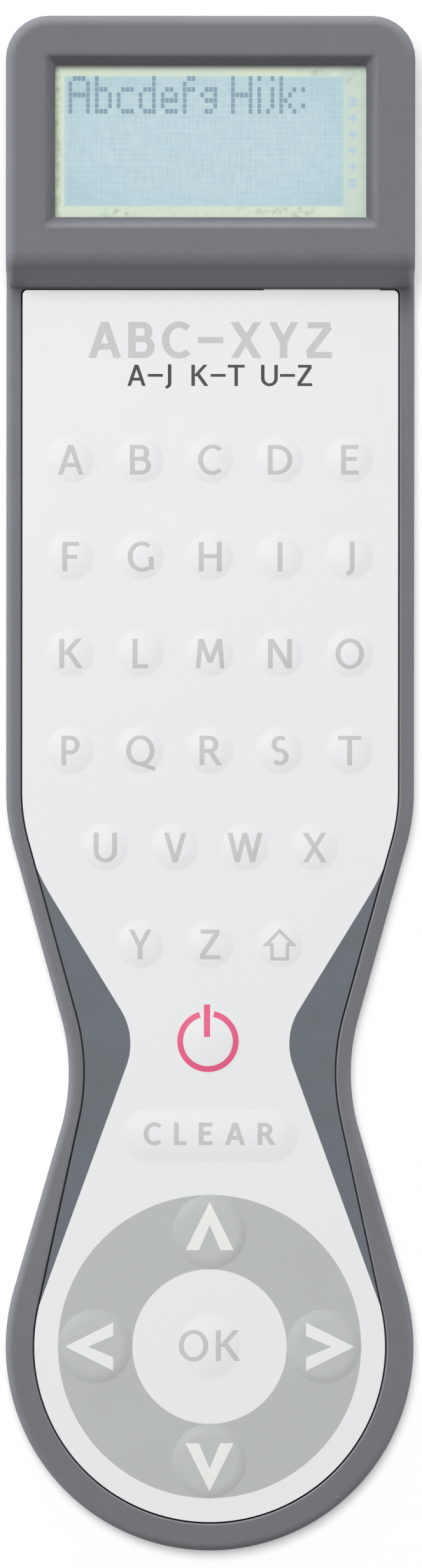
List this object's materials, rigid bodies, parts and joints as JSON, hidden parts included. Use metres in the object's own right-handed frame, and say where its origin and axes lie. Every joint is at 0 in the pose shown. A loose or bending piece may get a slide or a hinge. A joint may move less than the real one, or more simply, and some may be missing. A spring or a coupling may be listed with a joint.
{
  "type": "electronic dictionary bookmark",
  "caption": "Slim waisted bookmark with a thick dot-matrix display head, a membrane letter keypad, power and clear keys at the waist and a round arrow pad at the foot.",
  "frame": {"origin": "middle of the back face, at the centre of the bounding box's bottom", "axes": "+Y along the length towards the display head, +X to the right, +Z out of the keypad"},
  "size_m": [0.0428, 0.1606, 0.009],
  "materials": {
    "housing_plastic": "soft matte grey moulding",
    "printed_film": "satin white printed film",
    "key_film": "satin white embossed film",
    "arrow_film": "satin grey embossed film",
    "window_clear": "clear pane",
    "lcd_glass": "pale display glass",
    "connector_rubber": "striped rubber",
    "board_laminate": "green laminate",
    "chip_resin": "black resin",
    "can_steel": "nickel-plated steel",
    "contact_brass": "spring brass",
    "contact_film": "amber film",
    "spacer_film": "milky film",
    "screw_steel": "zinc-plated steel"
  },
  "bodies": {
    "case": {"front_housing": "housing_plastic", "rear_cover": "housing_plastic", "battery_door": "housing_plastic", "door_screw": "screw_steel", "case_screws": "screw_steel", "display_window": "window_clear", "lcd_panel": "lcd_glass", "zebra_strip": "connector_rubber", "main_board": "board_laminate", "processor_blob": "chip_resin", "crystal": "can_steel", "coin_cell": "can_steel", "contact_positive": "contact_brass", "contact_negative": "contact_brass", "keypad_circuit": "contact_film", "keypad_spacer": "spacer_film", "keypad_overlay": "printed_film"},
    "key_a": {"key_a": "key_film"},
    "key_b": {"key_b": "key_film"},
    "key_c": {"key_c": "key_film"},
    "key_d": {"key_d": "key_film"},
    "key_e": {"key_e": "key_film"},
    "key_f": {"key_f": "key_film"},
    "key_g": {"key_g": "key_film"},
    "key_h": {"key_h": "key_film"},
    "key_i": {"key_i": "key_film"},
    "key_j": {"key_j": "key_film"},
    "key_k": {"key_k": "key_film"},
    "key_l": {"key_l": "key_film"},
    "key_m": {"key_m": "key_film"},
    "key_n": {"key_n": "key_film"},
    "key_o": {"key_o": "key_film"},
    "key_p": {"key_p": "key_film"},
    "key_q": {"key_q": "key_film"},
    "key_r": {"key_r": "key_film"},
    "key_s": {"key_s": "key_film"},
    "key_t": {"key_t": "key_film"},
    "key_u": {"key_u": "key_film"},
    "key_v": {"key_v": "key_film"},
    "key_w": {"key_w": "key_film"},
    "key_x": {"key_x": "key_film"},
    "key_y": {"key_y": "key_film"},
    "key_z": {"key_z": "key_film"},
    "key_shift": {"key_shift": "key_film"},
    "key_power": {"key_power": "key_film"},
    "key_clear": {"key_clear": "key_film"},
    "key_ok": {"key_ok": "key_film"},
    "key_right": {"key_right": "arrow_film"},
    "key_up": {"key_up": "arrow_film"},
    "key_left": {"key_left": "arrow_film"},
    "key_down": {"key_down": "arrow_film"}
  },
  "joints": [
    {"name": "key_a_press", "type": "slide", "parent": "case", "child": "key_a", "axis": [0, 0, -1], "range_m": [0, 0.0002], "stiffness_N_per_m": 6000},
    {"name": "key_b_press", "type": "slide", "parent": "case", "child": "key_b", "axis": [0, 0, -1], "range_m": [0, 0.0002], "stiffness_N_per_m": 6000},
    {"name": "key_c_press", "type": "slide", "parent": "case", "child": "key_c", "axis": [0, 0, -1], "range_m": [0, 0.0002], "stiffness_N_per_m": 6000},
    {"name": "key_d_press", "type": "slide", "parent": "case", "child": "key_d", "axis": [0, 0, -1], "range_m": [0, 0.0002], "stiffness_N_per_m": 6000},
    {"name": "key_e_press", "type": "slide", "parent": "case", "child": "key_e", "axis": [0, 0, -1], "range_m": [0, 0.0002], "stiffness_N_per_m": 6000},
    {"name": "key_f_press", "type": "slide", "parent": "case", "child": "key_f", "axis": [0, 0, -1], "range_m": [0, 0.0002], "stiffness_N_per_m": 6000},
    {"name": "key_g_press", "type": "slide", "parent": "case", "child": "key_g", "axis": [0, 0, -1], "range_m": [0, 0.0002], "stiffness_N_per_m": 6000},
    {"name": "key_h_press", "type": "slide", "parent": "case", "child": "key_h", "axis": [0, 0, -1], "range_m": [0, 0.0002], "stiffness_N_per_m": 6000},
    {"name": "key_i_press", "type": "slide", "parent": "case", "child": "key_i", "axis": [0, 0, -1], "range_m": [0, 0.0002], "stiffness_N_per_m": 6000},
    {"name": "key_j_press", "type": "slide", "parent": "case", "child": "key_j", "axis": [0, 0, -1], "range_m": [0, 0.0002], "stiffness_N_per_m": 6000},
    {"name": "key_k_press", "type": "slide", "parent": "case", "child": "key_k", "axis": [0, 0, -1], "range_m": [0, 0.0002], "stiffness_N_per_m": 6000},
    {"name": "key_l_press", "type": "slide", "parent": "case", "child": "key_l", "axis": [0, 0, -1], "range_m": [0, 0.0002], "stiffness_N_per_m": 6000},
    {"name": "key_m_press", "type": "slide", "parent": "case", "child": "key_m", "axis": [0, 0, -1], "range_m": [0, 0.0002], "stiffness_N_per_m": 6000},
    {"name": "key_n_press", "type": "slide", "parent": "case", "child": "key_n", "axis": [0, 0, -1], "range_m": [0, 0.0002], "stiffness_N_per_m": 6000},
    {"name": "key_o_press", "type": "slide", "parent": "case", "child": "key_o", "axis": [0, 0, -1], "range_m": [0, 0.0002], "stiffness_N_per_m": 6000},
    {"name": "key_p_press", "type": "slide", "parent": "case", "child": "key_p", "axis": [0, 0, -1], "range_m": [0, 0.0002], "stiffness_N_per_m": 6000},
    {"name": "key_q_press", "type": "slide", "parent": "case", "child": "key_q", "axis": [0, 0, -1], "range_m": [0, 0.0002], "stiffness_N_per_m": 6000},
    {"name": "key_r_press", "type": "slide", "parent": "case", "child": "key_r", "axis": [0, 0, -1], "range_m": [0, 0.0002], "stiffness_N_per_m": 6000},
    {"name": "key_s_press", "type": "slide", "parent": "case", "child": "key_s", "axis": [0, 0, -1], "range_m": [0, 0.0002], "stiffness_N_per_m": 6000},
    {"name": "key_t_press", "type": "slide", "parent": "case", "child": "key_t", "axis": [0, 0, -1], "range_m": [0, 0.0002], "stiffness_N_per_m": 6000},
    {"name": "key_u_press", "type": "slide", "parent": "case", "child": "key_u", "axis": [0, 0, -1], "range_m": [0, 0.0002], "stiffness_N_per_m": 6000},
    {"name": "key_v_press", "type": "slide", "parent": "case", "child": "key_v", "axis": [0, 0, -1], "range_m": [0, 0.0002], "stiffness_N_per_m": 6000},
    {"name": "key_w_press", "type": "slide", "parent": "case", "child": "key_w", "axis": [0, 0, -1], "range_m": [0, 0.0002], "stiffness_N_per_m": 6000},
    {"name": "key_x_press", "type": "slide", "parent": "case", "child": "key_x", "axis": [0, 0, -1], "range_m": [0, 0.0002], "stiffness_N_per_m": 6000},
    {"name": "key_y_press", "type": "slide", "parent": "case", "child": "key_y", "axis": [0, 0, -1], "range_m": [0, 0.0002], "stiffness_N_per_m": 6000},
    {"name": "key_z_press", "type": "slide", "parent": "case", "child": "key_z", "axis": [0, 0, -1], "range_m": [0, 0.0002], "stiffness_N_per_m": 6000},
    {"name": "key_shift_press", "type": "slide", "parent": "case", "child": "key_shift", "axis": [0, 0, -1], "range_m": [0, 0.0002], "stiffness_N_per_m": 6000},
    {"name": "key_power_press", "type": "slide", "parent": "case", "child": "key_power", "axis": [0, 0, -1], "range_m": [0, 0.0002], "stiffness_N_per_m": 6000},
    {"name": "key_clear_press", "type": "slide", "parent": "case", "child": "key_clear", "axis": [0, 0, -1], "range_m": [0, 0.0002], "stiffness_N_per_m": 6000},
    {"name": "key_ok_press", "type": "slide", "parent": "case", "child": "key_ok", "axis": [0, 0, -1], "range_m": [0, 0.0002], "stiffness_N_per_m": 6000},
    {"name": "key_right_press", "type": "slide", "parent": "case", "child": "key_right", "axis": [0, 0, -1], "range_m": [0, 0.0002], "stiffness_N_per_m": 6000},
    {"name": "key_up_press", "type": "slide", "parent": "case", "child": "key_up", "axis": [0, 0, -1], "range_m": [0, 0.0002], "stiffness_N_per_m": 6000},
    {"name": "key_left_press", "type": "slide", "parent": "case", "child": "key_left", "axis": [0, 0, -1], "range_m": [0, 0.0002], "stiffness_N_per_m": 6000},
    {"name": "key_down_press", "type": "slide", "parent": "case", "child": "key_down", "axis": [0, 0, -1], "range_m": [0, 0.0002], "stiffness_N_per_m": 6000}
  ]
}
